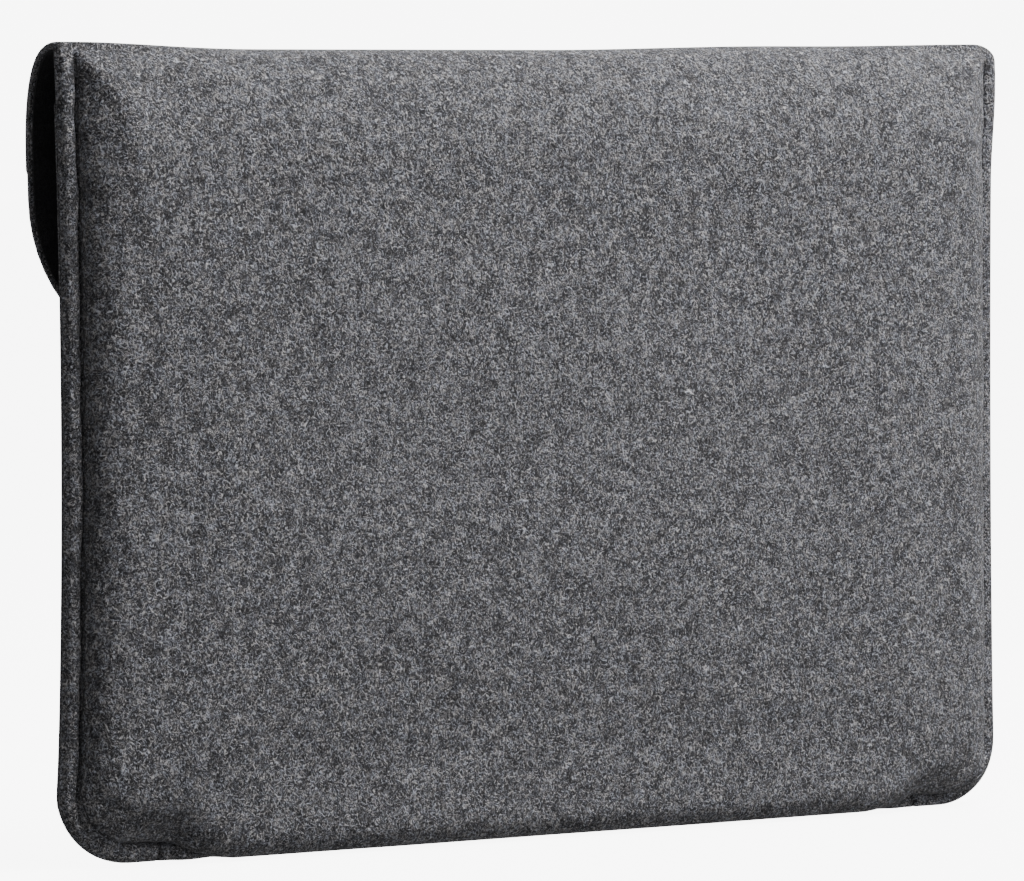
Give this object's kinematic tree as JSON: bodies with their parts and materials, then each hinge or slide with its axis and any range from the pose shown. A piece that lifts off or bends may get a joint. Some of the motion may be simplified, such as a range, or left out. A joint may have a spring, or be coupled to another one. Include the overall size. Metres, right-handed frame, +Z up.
{
  "type": "laptop sleeve",
  "caption": "Padded grey felt laptop sleeve with sewn side seams, a folded bottom edge, a dark soft lining and a wide fold-over flap closed by hook-and-loop tapes.",
  "frame": {"origin": "centre of the flat resting face under the bottom fold, in the plane of the two side seams", "axes": "+X along the width, +Y out of the plain back panel (the flap and front panel face -Y), +Z up from the bottom fold to the top fold"},
  "size_m": [0.35, 0.0301, 0.2499],
  "materials": {
    "felt": "heathered grey wool felt, matte and fibrous",
    "lining": "black brushed flannel, matte",
    "foam": "thin dark foam sheet, matte",
    "tape": "black woven nylon hook and loop tape",
    "thread": "dark grey polyester sewing thread, slight sheen"
  },
  "bodies": {
    "sleeve": {"back_felt": "felt", "front_felt": "felt", "back_foam": "foam", "front_foam": "foam", "back_lining": "lining", "front_lining": "lining", "left_seam_thread": "thread", "right_seam_thread": "thread", "mouth_stitching": "thread", "left_loop_tape": "tape", "right_loop_tape": "tape", "loop_tape_stitching": "thread"},
    "rear_fold": {"rear_fold_felt": "felt", "rear_fold_lining": "lining"},
    "front_fold": {"front_fold_felt": "felt", "front_fold_lining": "lining"},
    "flap": {"flap_felt": "felt", "flap_lining": "lining", "left_hook_tape": "tape", "right_hook_tape": "tape", "hook_tape_stitching": "thread", "flap_edge_stitching": "thread"}
  },
  "joints": [
    {"name": "rear_fold_bend", "type": "hinge", "parent": "sleeve", "child": "rear_fold", "pos_m": [0, 0.012, 0.24146], "axis": [-1, 0, 0], "range_deg": [0, 60]},
    {"name": "middle_fold_bend", "type": "hinge", "parent": "rear_fold", "child": "front_fold", "pos_m": [0, -0.0028, 0.25], "axis": [-1, 0, 0], "range_deg": [0, 60]},
    {"name": "flap_bend", "type": "hinge", "parent": "front_fold", "child": "flap", "pos_m": [0, -0.0176, 0.24146], "axis": [-1, 0, 0], "range_deg": [0, 60]}
  ],
  "couplings": [
    {"joint": "rear_fold_bend", "follows": "flap_bend", "ratio": 1},
    {"joint": "middle_fold_bend", "follows": "flap_bend", "ratio": 1}
  ]
}
